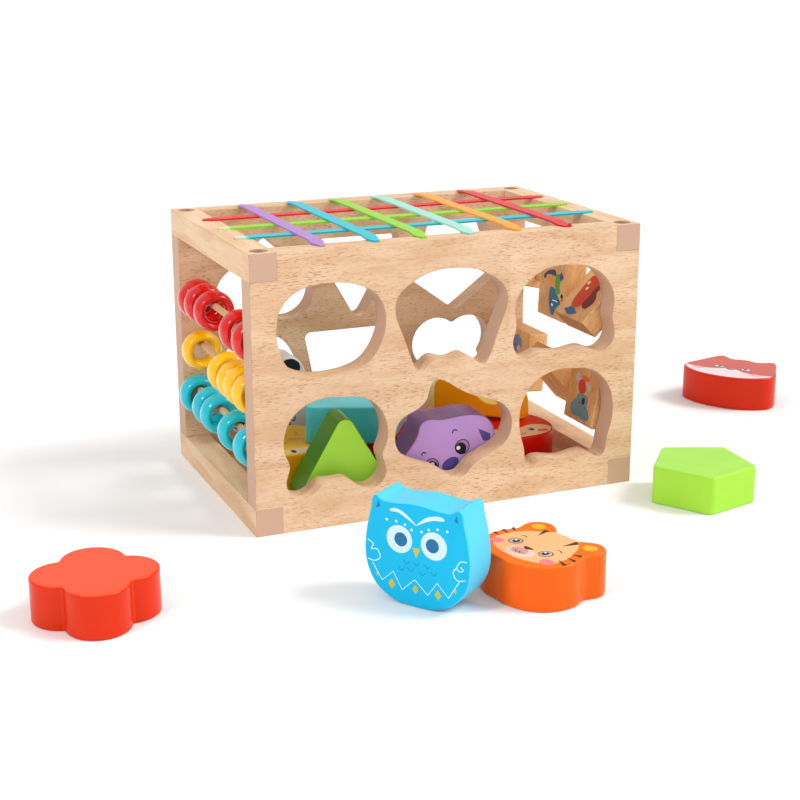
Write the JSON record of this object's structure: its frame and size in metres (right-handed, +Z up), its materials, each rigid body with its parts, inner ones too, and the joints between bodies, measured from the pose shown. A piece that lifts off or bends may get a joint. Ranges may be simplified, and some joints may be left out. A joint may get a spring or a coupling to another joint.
{
  "type": "shape sorter",
  "caption": "Beech shape-sorter box with animal and plain holes, sliding beads and flip tiles at its ends, elastic bands over the open top, and its loose painted blocks.",
  "frame": {"origin": "centre of the box's underside, on the surface it stands on", "axes": "+Z up, +X along the box's long side towards the flip tiles, -Y out of the panel with animal holes"},
  "size_m": [0.7158, 0.3924, 0.2027],
  "materials": {
    "beech": "satin",
    "dowel_wood": "satin",
    "tile_wood": "satin",
    "red_paint": "gloss",
    "yellow_paint": "gloss",
    "teal_paint": "gloss",
    "orange_red_paint": "gloss",
    "lime_paint": "gloss",
    "orange_paint": "gloss",
    "coral_paint": "gloss",
    "blue_paint": "gloss",
    "green_paint": "gloss",
    "purple_paint": "gloss",
    "cyan_paint": "gloss",
    "grey_paint": "gloss",
    "purple_elastic": "matte",
    "teal_elastic": "matte",
    "lime_elastic": "matte",
    "mint_elastic": "matte",
    "orange_elastic": "matte",
    "red_elastic": "matte",
    "screw_steel": "satin"
  },
  "bodies": {
    "box": {"front_panel": "beech", "rear_panel": "beech", "floor_panel": "beech", "left_bottom_rail": "beech", "left_top_rail": "beech", "right_bottom_rail": "beech", "right_top_rail": "beech", "red_abacus_rod": "dowel_wood", "yellow_abacus_rod": "dowel_wood", "teal_abacus_rod": "dowel_wood", "lower_tile_rod": "dowel_wood", "upper_tile_rod": "dowel_wood", "purple_cross_band": "purple_elastic", "teal_cross_band": "teal_elastic", "lime_cross_band": "lime_elastic", "mint_cross_band": "mint_elastic", "orange_cross_band": "orange_elastic", "red_cross_band": "red_elastic", "red_long_band": "red_elastic", "lime_long_band": "lime_elastic", "teal_long_band": "teal_elastic", "corner_screws": "screw_steel"},
    "red_bead_1": {"red_bead_1": "red_paint"},
    "red_bead_2": {"red_bead_2": "red_paint"},
    "red_bead_3": {"red_bead_3": "red_paint"},
    "red_bead_4": {"red_bead_4": "red_paint"},
    "red_bead_5": {"red_bead_5": "red_paint"},
    "yellow_bead_1": {"yellow_bead_1": "yellow_paint"},
    "yellow_bead_2": {"yellow_bead_2": "yellow_paint"},
    "yellow_bead_3": {"yellow_bead_3": "yellow_paint"},
    "yellow_bead_4": {"yellow_bead_4": "yellow_paint"},
    "yellow_bead_5": {"yellow_bead_5": "yellow_paint"},
    "teal_bead_1": {"teal_bead_1": "teal_paint"},
    "teal_bead_2": {"teal_bead_2": "teal_paint"},
    "teal_bead_3": {"teal_bead_3": "teal_paint"},
    "teal_bead_4": {"teal_bead_4": "teal_paint"},
    "teal_bead_5": {"teal_bead_5": "teal_paint"},
    "lower_front_tile": {"lower_front_tile": "tile_wood"},
    "lower_middle_tile": {"lower_middle_tile": "tile_wood"},
    "lower_rear_tile": {"lower_rear_tile": "tile_wood"},
    "upper_front_tile": {"upper_front_tile": "tile_wood"},
    "upper_middle_tile": {"upper_middle_tile": "tile_wood"},
    "upper_rear_tile": {"upper_rear_tile": "tile_wood"},
    "flower_block": {"flower_block": "orange_red_paint"},
    "pentagon_block": {"pentagon_block": "lime_paint"},
    "tiger_block": {"tiger_block": "orange_paint"},
    "fox_block": {"fox_block": "coral_paint"},
    "owl_block": {"owl_block": "blue_paint"},
    "triangle_block": {"triangle_block": "green_paint"},
    "elephant_block": {"elephant_block": "purple_paint"},
    "panda_block": {"panda_block": "grey_paint"},
    "heart_block": {"heart_block": "red_paint"},
    "giraffe_block": {"giraffe_block": "yellow_paint"},
    "trapezoid_block": {"trapezoid_block": "cyan_paint"},
    "monkey_block": {"monkey_block": "red_paint"},
    "cloud_block": {"cloud_block": "yellow_paint"}
  },
  "joints": [
    {"name": "red_bead_1_slide", "type": "slide", "parent": "box", "child": "red_bead_1", "axis": [0, 1, 0], "range_m": [-0.0101, 0.0065]},
    {"name": "red_bead_2_slide", "type": "slide", "parent": "red_bead_1", "child": "red_bead_2", "axis": [0, 1, 0], "range_m": [-0.0101, 0.0026]},
    {"name": "red_bead_3_slide", "type": "slide", "parent": "red_bead_2", "child": "red_bead_3", "axis": [0, 1, 0], "range_m": [-0.0101, 0.0101]},
    {"name": "red_bead_5_slide", "type": "slide", "parent": "box", "child": "red_bead_5", "axis": [0, 1, 0], "range_m": [-0.0009, 0.0101]},
    {"name": "red_bead_4_slide", "type": "slide", "parent": "red_bead_5", "child": "red_bead_4", "axis": [0, 1, 0], "range_m": [-0.0138, 0.0101]},
    {"name": "yellow_bead_1_slide", "type": "slide", "parent": "box", "child": "yellow_bead_1", "axis": [0, 1, 0], "range_m": [-0.0108, 0.0127]},
    {"name": "yellow_bead_5_slide", "type": "slide", "parent": "box", "child": "yellow_bead_5", "axis": [0, 1, 0], "range_m": [-0.0045, 0.0108]},
    {"name": "yellow_bead_4_slide", "type": "slide", "parent": "yellow_bead_5", "child": "yellow_bead_4", "axis": [0, 1, 0], "range_m": [-0.0048, 0.0108]},
    {"name": "yellow_bead_3_slide", "type": "slide", "parent": "yellow_bead_4", "child": "yellow_bead_3", "axis": [0, 1, 0], "range_m": [0, 0.0108]},
    {"name": "yellow_bead_2_slide", "type": "slide", "parent": "yellow_bead_3", "child": "yellow_bead_2", "axis": [0, 1, 0], "range_m": [-0.0082, 0.0108]},
    {"name": "teal_bead_1_slide", "type": "slide", "parent": "box", "child": "teal_bead_1", "axis": [0, 1, 0], "range_m": [-0.006, 0]},
    {"name": "teal_bead_2_slide", "type": "slide", "parent": "teal_bead_1", "child": "teal_bead_2", "axis": [0, 1, 0], "range_m": [-0.006, 0.0206]},
    {"name": "teal_bead_3_slide", "type": "slide", "parent": "teal_bead_2", "child": "teal_bead_3", "axis": [0, 1, 0], "range_m": [-0.006, 0.006]},
    {"name": "teal_bead_5_slide", "type": "slide", "parent": "box", "child": "teal_bead_5", "axis": [0, 1, 0], "range_m": [-0.0055, 0.006]},
    {"name": "teal_bead_4_slide", "type": "slide", "parent": "teal_bead_5", "child": "teal_bead_4", "axis": [0, 1, 0], "range_m": [-0.0223, 0.006]},
    {"name": "lower_front_tile_spin", "type": "hinge", "parent": "box", "child": "lower_front_tile", "pos_m": [0.14, -0.056, 0.061], "axis": [0, 1, 0], "continuous": true},
    {"name": "lower_middle_tile_spin", "type": "hinge", "parent": "box", "child": "lower_middle_tile", "pos_m": [0.14, -0.003, 0.061], "axis": [0, 1, 0], "continuous": true},
    {"name": "lower_rear_tile_spin", "type": "hinge", "parent": "box", "child": "lower_rear_tile", "pos_m": [0.14, 0.0595, 0.061], "axis": [0, 1, 0], "continuous": true},
    {"name": "upper_front_tile_spin", "type": "hinge", "parent": "box", "child": "upper_front_tile", "pos_m": [0.14, -0.056, 0.134], "axis": [0, 1, 0], "continuous": true},
    {"name": "upper_middle_tile_spin", "type": "hinge", "parent": "box", "child": "upper_middle_tile", "pos_m": [0.14, -0.003, 0.134], "axis": [0, 1, 0], "continuous": true},
    {"name": "upper_rear_tile_spin", "type": "hinge", "parent": "box", "child": "upper_rear_tile", "pos_m": [0.14, 0.0595, 0.134], "axis": [0, 1, 0], "continuous": true},
    {"name": "flower_block_lift", "type": "slide", "parent": "box", "child": "flower_block", "axis": [0, 0, 1], "range_m": [0, 0.12]},
    {"name": "pentagon_block_lift", "type": "slide", "parent": "box", "child": "pentagon_block", "axis": [0, 0, 1], "range_m": [0, 0.12]},
    {"name": "tiger_block_lift", "type": "slide", "parent": "box", "child": "tiger_block", "axis": [0, 0, 1], "range_m": [0, 0.12]},
    {"name": "fox_block_lift", "type": "slide", "parent": "box", "child": "fox_block", "axis": [0, 0, 1], "range_m": [0, 0.12]},
    {"name": "owl_block_lift", "type": "slide", "parent": "box", "child": "owl_block", "axis": [0, 0, 1], "range_m": [0, 0.12]},
    {"name": "triangle_block_lift", "type": "slide", "parent": "box", "child": "triangle_block", "axis": [0, 0, 1], "range_m": [0, 0.1]},
    {"name": "elephant_block_lift", "type": "slide", "parent": "box", "child": "elephant_block", "axis": [0, 0, 1], "range_m": [0, 0.1]},
    {"name": "panda_block_lift", "type": "slide", "parent": "box", "child": "panda_block", "axis": [0, 0, 1], "range_m": [0, 0.1]},
    {"name": "heart_block_lift", "type": "slide", "parent": "box", "child": "heart_block", "axis": [0, 0, 1], "range_m": [0, 0.02]},
    {"name": "giraffe_block_lift", "type": "slide", "parent": "heart_block", "child": "giraffe_block", "axis": [0, 0, 1], "range_m": [0, 0.02]},
    {"name": "trapezoid_block_lift", "type": "slide", "parent": "giraffe_block", "child": "trapezoid_block", "axis": [0, 0, 1], "range_m": [0, 0.05]},
    {"name": "monkey_block_lift", "type": "slide", "parent": "box", "child": "monkey_block", "axis": [0, 0, 1], "range_m": [0, 0.03]},
    {"name": "cloud_block_lift", "type": "slide", "parent": "monkey_block", "child": "cloud_block", "axis": [0, 0, 1], "range_m": [0, 0.06]}
  ]
}
